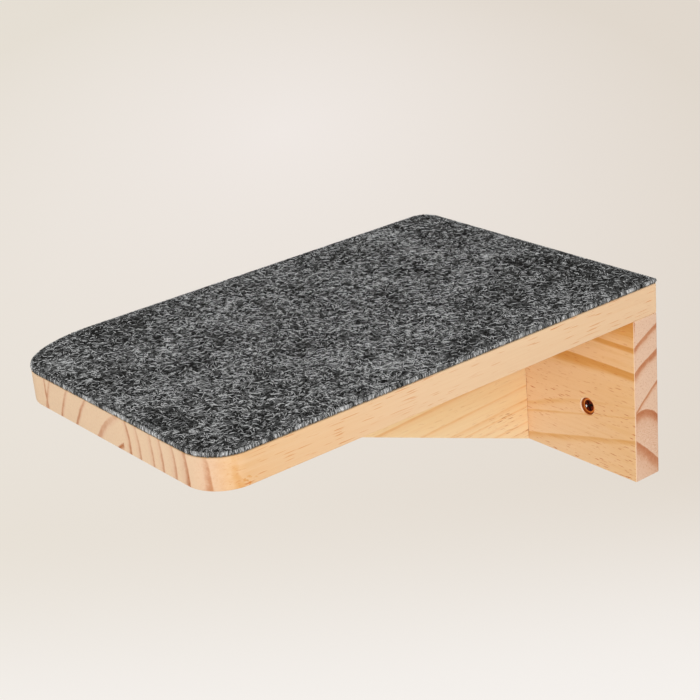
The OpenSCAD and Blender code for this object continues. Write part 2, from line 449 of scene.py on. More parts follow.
def rounded_block(low, high, corners, segments):
    """A block with rounded upright edges. A corner is its x, y and how far its curve reaches along each."""
    bm = block(low, high)
    for x, y, reach_x, reach_y in corners:
        squeeze = reach_x / reach_y
        bmesh.ops.scale(bm, vec=(1, squeeze, 1), verts=bm.verts)
        upright = [e for e in bm.edges if all(
            abs(v.co.x - x) < 1e-3 and abs(v.co.y - y * squeeze) < 1e-3 for v in e.verts)]
        bmesh.ops.bevel(bm, geom=upright, offset=reach_x, offset_type="OFFSET", affect="EDGES",
                        segments=segments, profile=0.5, material=-1)
        bmesh.ops.scale(bm, vec=(1, 1 / squeeze, 1), verts=bm.verts)
    return bm


def ease(bm, width, segments=3, least=40):
    """Rounds every edge that is sharper than an angle, as sandpaper does."""
    sharp = [e for e in bm.edges if e.calc_face_angle(0) > radians(least)]
    bmesh.ops.bevel(bm, geom=sharp, offset=width, offset_type="OFFSET", affect="EDGES",
                    segments=segments, profile=0.5, material=-1, clamp_overlap=True)


print("shaping helpers ready")

# %% [markdown]
# ## Turning and cutting
# Holes could be bevelled and extruded into each face, but a boolean is closer to the workshop: cutters are
# turned by spinning a profile, joined, and taken away from the wood all at once.

# %% Turning and cutting
def turned(profile, place, steps=32):
    """Spins a profile of (radius, height) points about its axis, and puts it in place."""
    bm = bmesh.new()
    points = [bm.verts.new((radius, 0, height)) for radius, height in profile]
    edges = [bm.edges.new(pair) for pair in zip(points, points[1:])]
    bmesh.ops.spin(bm, geom=points + edges, axis=(0, 0, 1), cent=(0, 0, 0), angle=2 * pi,
                   steps=steps, use_merge=True)
    bmesh.ops.remove_doubles(bm, verts=bm.verts, dist=1e-4)
    bmesh.ops.recalc_face_normals(bm, faces=bm.faces)
    bmesh.ops.transform(bm, matrix=place, verts=bm.verts)
    return bm


def joined(parts):
    """One bmesh from several."""
    whole = bmesh.new()
    for part in parts:
        spare = bpy.data.meshes.new("spare")
        part.to_mesh(spare)
        part.free()
        whole.from_mesh(spare)
        bpy.data.meshes.remove(spare)
    return whole


def cut_away(bm, cutters):
    """The bmesh less its cutters, by Blender's exact boolean."""
    meshes = [bpy.data.meshes.new("spare") for _ in range(2)]
    for source, mesh in zip((bm, cutters), meshes):
        source.to_mesh(mesh)
        source.free()
    body, tool = [bpy.data.objects.new("spare", mesh) for mesh in meshes]
    for spare in (body, tool):
        scene.collection.objects.link(spare)
    step = body.modifiers.new("holes", "BOOLEAN")
    step.object = tool
    step.solver = "EXACT"
    made = body.evaluated_get(bpy.context.evaluated_depsgraph_get()).to_mesh()
    result = bmesh.new()
    result.from_mesh(made)
    for spare in (body, tool):
        bpy.data.objects.remove(spare)
    for mesh in meshes:
        bpy.data.meshes.remove(mesh)
    return result


print("turning and cutting ready")

# %% [markdown]
# ## Holes for the fixings
# A countersunk screw needs a cone for its head, a clear hole through the first piece and a pilot hole in
# the second. A dowel sits in two blind holes. These cutters repeat the sizes of the CAD model, so each
# screw and dowel fits its hole.

# %% Cutters
BOARD_TOP = 82
BOARD_UNDER = 64
PLATE_THICK = 20
HEAD_RIM = 0.4
SNUG = 0.05
LOOSE = 0.25
OVERRUN = 1
JOIN_HEAD = 8.0
JOIN_THREAD = 4.0
JOIN_LENGTH = 45.0
JOIN_SINK = 0.3
DOWEL = 8.0


def seat(through, place):
    """The cut for a joining screw's head and shank in the piece that its head sits in."""
    wide = JOIN_HEAD / 2 + SNUG
    hole = JOIN_THREAD / 2 + LOOSE
    above = JOIN_SINK + OVERRUN
    return turned([(0, above), (wide, above), (wide, -HEAD_RIM), (hole, -HEAD_RIM - wide + hole),
                   (hole, -through - OVERRUN), (0, -through - OVERRUN)], place)


def pilot(start, place):
    """The blind hole that a joining screw's thread bites into."""
    hole = JOIN_THREAD / 2 + SNUG
    return turned([(0, OVERRUN - start), (hole, OVERRUN - start), (hole, -JOIN_LENGTH - OVERRUN),
                   (0, -JOIN_LENGTH - OVERRUN)], place)


def peg_hole(down, up, x):
    """The blind hole of a dowel, from the joint between the plate and the board."""
    hole = DOWEL / 2 + SNUG
    return turned([(0, up), (hole, up), (hole, -down), (0, -down)],
                  Matrix.Translation((x, -PLATE_THICK / 2, BOARD_UNDER)))


print("joining screws", JOIN_THREAD, "x", JOIN_LENGTH, "mm, dowels", DOWEL, "mm")

# %% [markdown]
# ## Where the fixings go
# Five joining screws go down through the board, three into the plate and two into the brace, and two more
# come from behind through the plate. A cutter is always spun upright about its own axis, and a matrix then
# turns and places it, so one profile serves for every direction.

# %% Places of the fixings
FACING_BACK = Matrix.Rotation(radians(-90), 4, "X")


def from_above(x, y):
    """The place of a screw whose head is sunk in the board's top."""
    return Matrix.Translation((x, y, BOARD_TOP - JOIN_SINK))


def from_behind(z):
    """The place of a screw whose head is sunk in the plate's back."""
    return Matrix.Translation((0, -JOIN_SINK, z)) @ FACING_BACK


THROUGH_BOARD = BOARD_TOP - BOARD_UNDER - JOIN_SINK
THROUGH_PLATE = PLATE_THICK - JOIN_SINK
PLATE_SCREWS = [(-80, -10), (0, -10), (80, -10)]
BRACE_SCREWS = [(0, -178), (0, -90)]
BACK_SCREWS = [-18, 16]
DOWELS = [-42, 42]
print(len(PLATE_SCREWS + BRACE_SCREWS + BACK_SCREWS), "joining screws and", len(DOWELS), "dowels")

# %% [markdown]
# ## The board's rings
# The board is glued up from two staves. On its end grain the left stave's rings lean one way, because
# its heart was low on the right, and the right stave's rings stand almost upright. Two ring centres and a
# switch at the glue line give both. The radii were read from the picture, ring by ring, since no random
# pattern would put them there.

# %% Board rings
GLUE_LINE = 20.5
LEFT_HEART = (41.5, -310, 32)
RIGHT_HEART = (-5, -310, 68)
# The hearts slant a little, so the last ring leaves the board's side just behind the near corner.
HEART_WAY = Vector((-0.004, 1, 0)).normalized()
LEFT_RINGS = [(42.8, 0.75, 4, 1.2), (57.8, 0.4, 5, 2.2), (76.5, 0.55, 3, 1.1), (91.1, 0.5, 3, 1.0),
              (106.6, 0.45, 3, 0.9), (134, 0.25, 9, 2)]
RIGHT_RINGS = [(32.8, 0.6, 5, 0.9), (42, 0.42, 5, 0.8), (54.3, 0.42, 5, 0.8), (63.1, 0.5, 5, 0.8),
               (74.5, 0.45, 7, 0.8), (85.5, 0.65, 8, 0.9), (96.8, 0.55, 8, 0.7), (104.6, 0.38, 4.5, 0.8)]
# One more line stands upright by itself and meets its neighbour at the lower edge.
LONE_HEART = (941.7, -310, 73)
LONE_RINGS = [(1000, 0.55, 2.5, 1.0)]
# By the near corner the plane has torn some grain.
TORN = (100, -290, 66)


def ring_radius(tree, spot, heart):
    """The distance in mm from a ring centre that runs along the board."""
    arm = add(tree, "VectorMath", {0: spot}, {1: heart}, operation="SUBTRACT")
    arm = add(tree, "VectorMath", {0: arm}, {1: HEART_WAY}, operation="CROSS_PRODUCT")
    return add(tree, "VectorMath", {0: arm}, operation="LENGTH")


def torn_grain(tree, spot):
    """Ragged marks round one place, from 0 to 1."""
    arm = add(tree, "VectorMath", {0: spot}, {1: TORN}, operation="SUBTRACT")
    arm = add(tree, "VectorMath", {0: arm}, {1: (0.2, 0.13, 0.2)}, operation="MULTIPLY")
    arm = add(tree, "VectorMath", {0: arm}, operation="LENGTH")
    torn = add(tree, "MapRange", {"Value": arm}, {"From Min": 1.1, "From Max": 0.3, "To Max": 1.0})
    ragged = add(tree, "TexNoise", {"Vector": spot}, {"Scale": 0.5, "Detail": 3.0})
    ragged = add(tree, "MapRange", {"Value": ragged}, {"From Min": 0.45, "From Max": 0.65})
    return add(tree, "Math", {0: torn, 1: ragged}, operation="MULTIPLY")


def board_rings(tree, spot):
    """Two staves with their own ring centres, side by side."""
    left, right, lone = [late_wood(tree, ring_radius(tree, spot, heart), rings) for heart, rings in (
        (LEFT_HEART, LEFT_RINGS), (RIGHT_HEART, RIGHT_RINGS), (LONE_HEART, LONE_RINGS))]
    axes = add(tree, "SeparateXYZ", {0: spot}).node.outputs
    side = add(tree, "Math", {0: axes["X"]}, {1: GLUE_LINE}, operation="GREATER_THAN")
    lines = add(tree, "Mix", {0: side, 6: darkest(tree, left, lone), 7: right}, data_type="RGBA")
    # The lines are stronger near the lower face.
    deep = add(tree, "MapRange", {"Value": axes["Z"]}, {
        "From Min": BOARD_TOP, "From Max": BOARD_UNDER, "To Min": 0.75, "To Max": 1.35})
    lines = add(tree, "Math", {0: lines, 1: deep}, operation="MULTIPLY")
    # The right side is a shade more golden towards the front.
    front = add(tree, "MapRange", {"Value": axes["Y"]}, {
        "From Min": -180, "From Max": -290, "To Max": 0.24})
    skin = add(tree, "MapRange", {"Value": axes["X"]}, {"From Min": 78, "From Max": 95})
    golden = add(tree, "Math", {0: front, 1: skin}, operation="MULTIPLY")
    return darkest(tree, lines, golden, torn_grain(tree, spot))


print("board rings:", len(LEFT_RINGS + RIGHT_RINGS + LONE_RINGS))

# %% [markdown]
# ## The board
# The board carries the cat and sets the outline of everything else. Its four corners are rounded by
# different amounts, as they are in the picture. An outline could be drawn and extruded, but on a block with
# bevelled edges two numbers say how far each corner's curve reaches. Beneath the carpet lie the seats of
# five screws, and two dowel holes open in its lower face.

# %% Board
board_pine = pine("planed pine, edge-glued board", 1, board_rings, {
    "early": "#F0CDA6", "middle": "#EAB87C", "late": "#D9924A", "warm": "#ECC296",
    "end_early": "#ECCDAB", "end_middle": "#DEB091", "end_late": "#AE6832",
    "canal": "#D2782C", "canals": 0.75, "canal_mm": 15, "canal_top": 90, "canal_high": 0.15,
    "drift": 0.36, "patch": 0.3, "pores": 0.15, "edge_highlight": 0})

BOARD_LOW = (-100, -310, BOARD_UNDER)
BOARD_HIGH = (100, 0, BOARD_TOP)
CORNERS = [(-100, -310, 34, 55), (100, -310, 22, 22), (-100, 0, 12, 12), (100, 0, 1.5, 1.5)]

bm = rounded_block(BOARD_LOW, BOARD_HIGH, CORNERS, 20)
ease(bm, 0.8)
cutters = [seat(THROUGH_BOARD, from_above(x, y)) for x, y in PLATE_SCREWS + BRACE_SCREWS]
cutters += [peg_hole(1, 11, x) for x in DOWELS]
board = keep(cut_away(bm, joined(cutters)), "board_wood", board_pine)
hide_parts("shelf_board")
print("board faces:", len(board.data.polygons))

# %% [markdown]
# ## The bend of the plate's rings
# The plate was sawn close to the heart, so its end shows a fork: rings above it climb towards the wall and
# rings below it fall. On the front the upper rings are level and the lower ones tilt. One ring centre
# couldn't give both, so each family gets a height of its own, bent by how deep and how far along a place is.

# %% Plate heights
def plate_heights(tree, axes, depth, run):
    """The bent heights of the upper, lower and arched rings, taken at the front of the right end."""
    def bent(straight, square, share=None):
        """A bend by the depth, from its slope and its curvature."""
        slope = add(tree, "Math", {0: depth}, {1: square, 2: straight}, operation="MULTIPLY_ADD")
        bend = add(tree, "Math", {0: depth, 1: slope}, operation="MULTIPLY")
        return add(tree, "Math", {0: bend, 1: share}, operation="MULTIPLY") if share else bend

    climb = add(tree, "MapRange", {"Value": axes["Z"]}, {
        "From Min": 22, "From Max": 38, "To Min": -1.46, "To Max": -0.97})
    fan = add(tree, "MapRange", {"Value": axes["Z"]}, {
        "From Min": -10, "From Max": 32, "To Min": 0.245, "To Max": 0.0})
    high = add(tree, "Math", {0: axes["Z"], 1: bent(0.7, -0.0075, climb)}, operation="ADD")
    high = add(tree, "Math", {0: fan, 1: run, 2: high}, operation="MULTIPLY_ADD")
    low = add(tree, "Math", {0: axes["Z"], 1: bent(0.7, 0.013)}, operation="ADD")
    low = add(tree, "Math", {0: run, 2: low}, {1: 0.24}, operation="MULTIPLY_ADD")
    arch = add(tree, "Math", {0: axes["Z"], 1: bent(-0.44, 0.04)}, operation="ADD")
    arch = add(tree, "Math", {0: arch}, {1: 1.2}, operation="ADD")
    return high, low, arch


print("plate rings bend over", PLATE_THICK, "mm")

# %% [markdown]
# ## The saw's curls
# Under the arch on the plate's end the saw has left fine curls. Plain noise would give blots, but a wave that
# noise has bent gives long lines that curl and never cross. Two limits keep them under the arch.

# %% Saw curls
CURL_MM = 1.4


def saw_curls(tree, spot, arch, low):
    """Fine curls that the saw has left on the end, under the arch. A wave's period is 2 pi / 20 / scale."""
    curl = add(tree, "TexWave", {"Vector": spot}, {
        "Scale": 2 * pi / 20 / CURL_MM, "Distortion": 14, "Detail": 1.0, "Detail Scale": 0.9},
        out="Fac", bands_direction="Z")
    under_arch = add(tree, "MapRange", {"Value": arch}, {"From Min": 3, "From Max": -2, "To Max": 0.22})
    above_foot = add(tree, "MapRange", {"Value": low}, {"From Min": -11, "From Max": -7})
    zone = add(tree, "Math", {0: under_arch, 1: above_foot}, operation="MULTIPLY")
    return add(tree, "Math", {0: curl, 1: zone}, operation="MULTIPLY")


print("saw curls are", CURL_MM, "mm apart")

# %% [markdown]
# ## The plate's rings
# Four rings run through the whole plank. Others fade out inside it and show only on the front or only on the
# end, so the depth behind the front decides which of them are drawn. On the front one more broad band darkens
# the top under the board, as painted shade.

# %% Plate rings
UPPER_RINGS = [(31.8, 0.75, 9, 2.4), (47.5, 0.68, 7, 1.6)]
LOWER_RINGS = [(-42, 0.4, 10, 1), (-11, 0.38, 12, 1.2)]
# Its second entry is no ring but a broad band that darkens the front towards its top, under the board:
# painted shade.
FRONT_UPPER_AND_SHADE = [(10.4, 0.25, 5, 1), (66, 0.95, 40, 2)]
FRONT_LOWER = [(4.3, 0.3, 2.5, 0.8)]
END_UPPER = [(6.3, 0.7, 4.5, 0.9)]
END_ARCH = [(6.7, 0.85, 14, 1.5)]
END_LOWER = [(-11, 0.75, 24, 1.6)]


def plate_rings(tree, spot):
    """Rings that fan from the fork."""
    axes = add(tree, "SeparateXYZ", {0: spot}).node.outputs
    depth = add(tree, "Math", {0: axes["Y"]}, {1: PLATE_THICK}, operation="ADD")
    x = add(tree, "Math", {0: axes["X"]}, {1: 0}, operation="MAXIMUM")
    run = add(tree, "Math", {1: x}, {0: 100}, operation="SUBTRACT")
    high, low, arch = plate_heights(tree, axes, depth, run)
    through = darkest(tree, late_wood(tree, high, UPPER_RINGS), late_wood(tree, low, LOWER_RINGS))
    # The front is a shade more golden towards the right.
    golden = add(tree, "MapRange", {"Value": run}, {"From Min": 85, "From Max": 15, "To Max": 0.2})
    front = darkest(tree, late_wood(tree, high, FRONT_UPPER_AND_SHADE), late_wood(tree, low, FRONT_LOWER), golden)
    end = darkest(tree, late_wood(tree, high, END_UPPER), late_wood(tree, arch, END_ARCH),
                  late_wood(tree, low, END_LOWER), saw_curls(tree, spot, arch, low))
    inside = add(tree, "MapRange", {"Value": depth}, {"From Min": 0.3, "From Max": 1.2})
    own = add(tree, "Mix", {0: inside, 6: front, 7: end}, data_type="RGBA")
    return darkest(tree, through, own)


print("plate rings:", len(UPPER_RINGS + LOWER_RINGS), "run through")

# %% [markdown]
# ## Drilled wood
# A drill rubs the wall of its hole until it is brown and smooth, and inside the counterbore the finish is
# darker still, as painted shade. The holes get a finish of their own for that. It drifts between two
# colours, and a helper makes it, because the metals below are made the same way.

# %% Drilled wood
def mottled(name, patch_mm, one, other, roughness=0.5, metallic=0.0, detail=2.0):
    """A material that drifts between two colours, over patches of a size in mm."""
    material, tree, shader = start_material(name)
    place = add(tree, "TexCoord", out="Object")
    drift = add(tree, "TexNoise", {"Vector": place}, {"Scale": 1000 / patch_mm, "Detail": detail})
    colour = add(tree, "Mix", {0: drift}, {6: linear(one), 7: linear(other)}, data_type="RGBA")
    tree.links.new(colour, shader.inputs["Base Color"])
    shader.inputs["Roughness"].default_value = roughness
    shader.inputs["Metallic"].default_value = metallic
    return material


# Brown from the drill's burnish, and darker still as painted shade inside the counterbore.
drilled = mottled("drilled pine, burnished, with painted shade", 1.5, "#B8641F", "#7E3A10")
print(drilled.name, "ready")

# %% [markdown]
# ## The back plate
# The plate stands on the wall under the board's rear edge, and shares the board's two rear corners. Each
# wall screw sits in a counterbore with a chamfered lip. On the real plate it is barely wider than the head,
# so it is cut a little narrower here than in the CAD model, and the hole's walls get the drilled finish,
# which is darkened with painted shade.

# %% Back plate
# On the plate the pale line down its rounded upright edge is a painted highlight.
plate_pine = pine("planed pine, plate", 0, plate_rings, {
    "early": "#EECAA0", "middle": "#DFAA62", "late": "#CA8840", "warm": "#EABF8A",
    "end_early": "#E8C4A8", "end_middle": "#D8A27E", "end_late": "#B4683C",
    "canal": "#B84C12", "canals": 0.85, "canal_mm": 6, "canal_top": 11, "canal_high": 0.55,
    "drift": 0.26, "patch": 0.25, "pores": 0.5, "edge_highlight": 3.0})

PLATE_FOOT = -38
WALL_SCREWS = [-61.5, 61.5]
WALL_HEAD = 9.6
WALL_THREAD = 5.0
FACING_FRONT = Matrix.Rotation(radians(90), 4, "X")
WALL_SINK = 1.5
BORE = 5.4
LIP = 5.9

bm = rounded_block((-100, -PLATE_THICK, PLATE_FOOT), (100, 0, BOARD_UNDER), CORNERS[2:], 12)
ease(bm, 0.7)
wide = WALL_HEAD / 2 + SNUG
hole = WALL_THREAD / 2 + LOOSE
bore = [(0, 4), (LIP, 4), (LIP, WALL_SINK), (BORE, WALL_SINK - 0.6), (BORE, 0), (wide, 0), (wide, -HEAD_RIM),
        (hole, -HEAD_RIM - wide + hole), (hole, -PLATE_THICK), (0, -PLATE_THICK)]
cutters = [turned(bore, Matrix.Translation((x, WALL_SINK - PLATE_THICK, 0)) @ FACING_FRONT, 48)
           for x in WALL_SCREWS]
cutters += [pilot(THROUGH_BOARD, from_above(x, y)) for x, y in PLATE_SCREWS]
cutters += [seat(THROUGH_PLATE, from_behind(z)) for z in BACK_SCREWS]
cutters += [peg_hole(21, 1, x) for x in DOWELS]
plate = keep(cut_away(bm, joined(cutters)), "plate_wood", plate_pine)
plate.data.materials.append(drilled)
# The counterbore's walls get the drilled finish, darkened with painted shade.
for face in plate.data.polygons:
    middle = face.center / MM
    off_axis = min(Vector((middle.x - x, middle.z)).length for x in WALL_SCREWS)
    if off_axis < LIP + 0.1 and 0.4 - PLATE_THICK < middle.y < -0.2:
        face.material_index = 1
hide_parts("back_plate")
print("plate faces:", len(plate.data.polygons))

# %% [markdown]
# ## The brace
# The brace is a quarter-sawn strip, so its rings are nearly straight lines along its length that climb a
# little towards the wall. Towards its foot the wood turns warmer. It could be drawn as an outline and
# extruded, but it starts as a block whose lower front edge is lifted, as a saw would take that corner off.

# %% Brace
BRACE_RINGS = [(-36, 0.22, 3, 0.6), (-30, 0.3, 3, 0.6), (-24.5, 0.24, 3, 0.6), (-19.2, 0.34, 3, 0.6),
               (-14.5, 0.36, 24, 0.6), (-5.2, 0.34, 4, 0.7), (1.5, 0.1, 3, 0.6), (9.4, 0.42, 7, 0.7),
               (24, 0.5, 8, 1), (38, 0.5, 8, 1), (51, 0.5, 8, 1), (66, 0.5, 8, 1)]
CLIMB = -0.055
LEAN = -0.35
NOSE = -268
NOSE_FOOT = 54


def brace_rings(tree, spot):
    """Lines along the brace that climb by 1 mm in 18. Heights are taken on its right face."""
    axes = add(tree, "SeparateXYZ", {0: spot}).node.outputs
    lean = add(tree, "Math", {0: axes["X"], 2: axes["Z"]}, {1: LEAN}, operation="MULTIPLY_ADD")
    height = add(tree, "Math", {0: axes["Y"], 2: lean}, {1: CLIMB}, operation="MULTIPLY_ADD")
    height = add(tree, "Math", {0: height}, {1: 3.5 + 110 * CLIMB}, operation="ADD")
    return late_wood(tree, height, BRACE_RINGS)


brace_pine = pine("planed pine, brace", 1, brace_rings, {
    "early": "#FADFB4", "middle": "#F3C68E", "late": "#E0A156", "warm": "#F6D296",
    "end_early": "#EBCBA6", "end_middle": "#DCAC80", "end_late": "#A5683A",
    "canal": "#B86428", "canals": 0.9, "canal_mm": 8, "canal_top": -8, "canal_high": 0.2,
    "drift": 0.26, "patch": 0.5, "pores": 0.15, "edge_highlight": 0})

bm = block((-10, NOSE, PLATE_FOOT), (10, -PLATE_THICK, BOARD_UNDER))
for foot in [v for v in bm.verts if v.co.y < NOSE + 1 and v.co.z < 0]:
    foot.co.z = NOSE_FOOT
ease(bm, 0.7)
cutters = [pilot(THROUGH_BOARD, from_above(x, y)) for x, y in BRACE_SCREWS]
cutters += [pilot(THROUGH_PLATE, from_behind(z)) for z in BACK_SCREWS]
brace = keep(cut_away(bm, joined(cutters)), "brace_wood", brace_pine)
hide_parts("brace")
print("brace faces:", len(brace.data.polygons))

# %% [markdown]
# ## Felt
# Needle felt is a mat of fibres that barbed needles have tangled together. Dark fibres lie deep between the
# light ones, and the gaps between fibres lie in shade, so the mat behind them is a near-black grey with soft
# clouds: partly the dark fibres' colour, partly painted shade of the gaps. The light fibres could be painted
# on it as well, but they would look flat from the side, so only small tufts are left to this finish.

# %% Felt finish
felt, tree, shader = start_material("needle felt, charcoal melange with painted gap shade")
place = add(tree, "TexCoord", out="Object")
tuft = add(tree, "TexNoise", {"Vector": place}, {"Scale": 1000 / 1.6, "Detail": 3.0})
cloud = add(tree, "TexNoise", {"Vector": place}, {"Scale": 1000 / 14, "Detail": 2.0})
both = add(tree, "Math", {0: tuft, 1: cloud}, operation="ADD")
both = add(tree, "MapRange", {"Value": both}, {"From Min": 0.75, "From Max": 1.3})
# Near black: partly the dark fibres' colour, partly painted shade of the gaps between fibres.
grey = add(tree, "Mix", {0: both}, {6: linear("#101111"), 7: linear("#383939")}, data_type="RGBA")
tree.links.new(grey, shader.inputs["Base Color"])
shader.inputs["Roughness"].default_value = 0.95
shader.inputs["Specular IOR Level"].default_value = 0.1
bump = add(tree, "Bump", {"Height": tuft}, {"Strength": 0.6, "Distance": 0.4 * MM})
tree.links.new(bump, shader.inputs["Normal"])
print(felt.name, "ready")

# %% [markdown]
# ## The carpet's body
# The carpet was cut to the board's outline, a hair inside its edge. A cloth simulation would change
# nothing, because it is glued down flat, so the body is a thin slab with an uneven top. It is sliced into a
# grid first, so that its top has points to move. The fibres that catch the eye come in the next steps.

# %% Carpet body
INSET = 0.3
FELT_LOW = (-100 + INSET, -310 + INSET, 82.3)
FELT_HIGH = (100 - INSET, -INSET, 84.4)
FELT_TOP = FELT_HIGH[2]
FELT_CORNERS = [(x - INSET * np.sign(x), y + (INSET if y < 0 else -INSET), reach_x - INSET, reach_y - INSET)
                for x, y, reach_x, reach_y in CORNERS]
GRID = 5
RELIEF = 0.15
RELIEF_PATCH = 9

bm = rounded_block(FELT_LOW, FELT_HIGH, FELT_CORNERS, 16)
ease(bm, 0.5, 2)
for axis in (0, 1):
    for slice_mm in np.arange(FELT_LOW[axis] + GRID, FELT_HIGH[axis] - 1, GRID):
        point = Vector((0, 0, 0))
        point[axis] = slice_mm
        way = Vector((0, 0, 0))
        way[axis] = 1
        bmesh.ops.bisect_plane(bm, geom=bm.verts[:] + bm.edges[:] + bm.faces[:], plane_co=point,
                               plane_no=way, dist=1e-4)
for v in bm.verts:
    if v.co.z > FELT_TOP - 0.05:
        v.co.z += RELIEF * noise.noise(v.co / RELIEF_PATCH)
bmesh.ops.recalc_face_normals(bm, faces=bm.faces)
carpet = keep(bm, "carpet_felt", felt, 60)
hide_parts("carpet")
print("felt body faces:", len(carpet.data.polygons))

# %% [markdown]
# ## Dyed fibres
# Melange felt is blended from polyester fibres dyed in several greys, with a soft gleam. One ramp holds all
# the dyes of the blend, from near black to undyed silver, and each fibre reads its own shade from an
# attribute. A material for each grey would do the same with far more of them.

# %% Fibre finish
fibre, tree, shader = start_material("dyed polyester fibre, melange greys")
own = add(tree, "Attribute", out="Fac", attribute_name="shade")
dye = add(tree, "ValToRGB", {0: own})
stops = dye.node.color_ramp.elements
stops[0].color = linear("#0F1010")
stops[1].color = linear("#E6E7E7")
for where, colour in ((0.3, "#3A3B3B"), (0.6, "#7B7C7C")):
    stops.new(where).color = linear(colour)
tree.links.new(dye, shader.inputs["Base Color"])
shader.inputs["Roughness"].default_value = 0.75
shader.inputs["Specular IOR Level"].default_value = 0.2
print(fibre.name, "ready")

# %% [markdown]
# ## From curves to fibres
# Real fibres are thinner than a hair, so bundles of them are drawn as strands 0.24 to 0.7 mm thick, which
# is what the eye sees of them from a metre away. A hair system would draw millions, but it can't leave
# Blender as a mesh. So each strand is a short curve with a three-sided section.

# %% Fibre section
POINTS = 4
SIDES = 3
section = bpy.data.curves.new("fibre_section", "CURVE")
ring = section.splines.new("POLY")
ring.points.add(SIDES - 1)
for corner, point in enumerate(ring.points):
    point.co = (cos(2 * pi * corner / SIDES), sin(2 * pi * corner / SIDES), 0, 1)
ring.use_cyclic_u = True
section_object = bpy.data.objects.new("fibre_section", section)
print("fibre section has", SIDES, "sides")

# %% [markdown]
# ## A square for each fibre
# A finish can be baked into an image. An automatic unwrap of so many strands would let neighbours
# bleed into each other there, so each fibre gets a small square of the image to itself.

# %% Fibre squares
def own_cells(mesh, count):
    """A UV map in which every fibre has a small square of its own, so its shade bakes without a blur."""
    across = int(np.ceil(np.sqrt(count)))
    vertex = np.zeros(len(mesh.loops), dtype=int)
    mesh.loops.foreach_get("vertex_index", vertex)
    strand, place_in = np.divmod(vertex, POINTS * SIDES)
    along, side = np.divmod(place_in, SIDES)
    u = (strand % across + 0.2 + 0.3 * side) / across
    v = (strand // across + 0.2 + 0.2 * along) / across
    cells = mesh.uv_layers.new(name="OFBake")
    cells.uv.foreach_set("vector", np.column_stack([u, v]).ravel())


print("a fibre has", POINTS * SIDES, "points in its square")

# %% [markdown]
# ## Strands
# One curve can hold thousands of splines and gives them all their section at once, which is far quicker
# than an object for each fibre. Both ends shrink to a point, and merging the doubled points there closes
# the shape.

# %% Strands
def strands(name, paths, thick, shades):
    """A piece of fibres from paths of points in mm, with a thickness and a shade for each."""
    curve = bpy.data.curves.new(name, "CURVE")
    curve.dimensions = "3D"
    curve.bevel_mode = "OBJECT"
    curve.bevel_object = section_object
    taper = np.array([0, 1, 1, 0])
    for path, width in zip(paths, thick):
        spline = curve.splines.new("POLY")
        spline.points.add(POINTS - 1)
        spline.points.foreach_set("co", np.column_stack([path * MM, np.ones(POINTS)]).ravel())
        spline.points.foreach_set("radius", taper * width / 2 * MM)
    holder = bpy.data.objects.new(name, curve)
    scene.collection.objects.link(holder)
    mesh = bpy.data.meshes.new_from_object(holder.evaluated_get(bpy.context.evaluated_depsgraph_get()))
    bpy.data.objects.remove(holder)
    bpy.data.curves.remove(curve)
    own = mesh.attributes.new("shade", "FLOAT", "POINT")
    own.data.foreach_set("value", np.repeat(shades, POINTS * SIDES))
    own_cells(mesh, len(paths))
    bm = bmesh.new()
    bm.from_mesh(mesh)
    bmesh.ops.remove_doubles(bm, verts=bm.verts, dist=1e-7)
    bmesh.ops.recalc_face_normals(bm, faces=bm.faces)
    bm.to_mesh(mesh)
    bm.free()
    mesh.materials.clear()
    mesh.materials.append(fibre)
    piece = bpy.data.objects.new(name, mesh)
    scene.collection.objects.link(piece)
    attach(piece, "root")
    mesh.calc_loop_triangles()
    print(name, len(paths), "fibres,", len(mesh.loop_triangles), "triangles")
    return piece


print("strands ready")

# %% [markdown]
# ## Where a fibre may lie
# Fibres are scattered over the carpet's box, and those outside its rounded outline are dropped. Each one
# walks a few steps and turns a little at each. Smooth noise makes neighbours agree, as needles comb them
# one way.

# %% Fibre scatter
def on_felt(x, y, margin):
    """True where a point is on the carpet, this far in from its cut edge."""
    inside = (abs(x) < FELT_HIGH[0] - margin) & (y > FELT_LOW[1] + margin) & (y < FELT_HIGH[1] - margin)
    for corner_x, corner_y, reach_x, reach_y in FELT_CORNERS:
        way_x = np.sign(corner_x)
        way_y = -1 if corner_y < -100 else 1
        out_x = (x - corner_x) * way_x + reach_x
        out_y = (y - corner_y) * way_y + reach_y
        far = np.hypot(out_x / max(reach_x - margin, 0.1), out_y / max(reach_y - margin, 0.1)) > 1
        inside &= ~((out_x > 0) & (out_y > 0) & far)
    return inside


def wander(x, y, angle, curl, step):
    """Paths that start at x, y and turn by curl at each step, with their heights still to be set."""
    paths = np.zeros((len(x), POINTS, 3))
    paths[:, 0, 0] = x
    paths[:, 0, 1] = y
    for i in range(1, POINTS):
        paths[:, i, 0] = paths[:, i - 1, 0] + step * np.cos(angle + curl * i)
        paths[:, i, 1] = paths[:, i - 1, 1] + step * np.sin(angle + curl * i)
    return paths


def patches(x, y, size, layer):
    """Smooth noise at each point, in patches of a size in mm."""
    return np.array([noise.noise(Vector((a / size, b / size, layer))) for a, b in zip(x, y)])


print("share of the carpet's box that is felt:", round(on_felt(
    *np.meshgrid(np.linspace(-100, 100, 201), np.linspace(-310, 0, 311)), 0).mean(), 3))

# %% [markdown]
# ## Lying fibres
# On the carpet's top the fibres lie in swirls, arch a little out of the mat and dive back in. Their shades
# drift in clouds and broad banks, because the blend is never quite even. Six layers of them, each a little
# higher than the last, keep every piece small enough to export whole.

